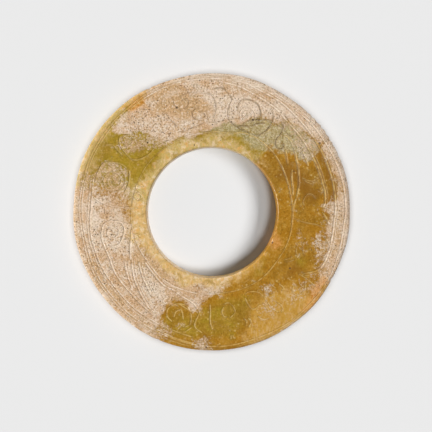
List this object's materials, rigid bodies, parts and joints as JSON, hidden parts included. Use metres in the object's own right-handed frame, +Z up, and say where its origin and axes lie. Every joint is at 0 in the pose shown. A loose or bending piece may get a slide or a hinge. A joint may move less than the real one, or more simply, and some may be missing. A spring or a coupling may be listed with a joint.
{
  "type": "jade bi disc",
  "caption": "Flat ring of carved nephrite: a wide central bore, rounded edges and an incised upper face with a plain back.",
  "frame": {"origin": "centre of the footprint, on the plane of the plain back that the disc lies on", "axes": "+Z up through the thickness, out of the incised face; +Y towards the top of the face's pattern"},
  "size_m": [0.1096, 0.11, 0.0054],
  "materials": {
    "jade": "polished nephrite, olive green to amber brown, altered to pale buff in patches"
  },
  "bodies": {
    "root": {"jade_disc": "jade"}
  },
  "joints": []
}
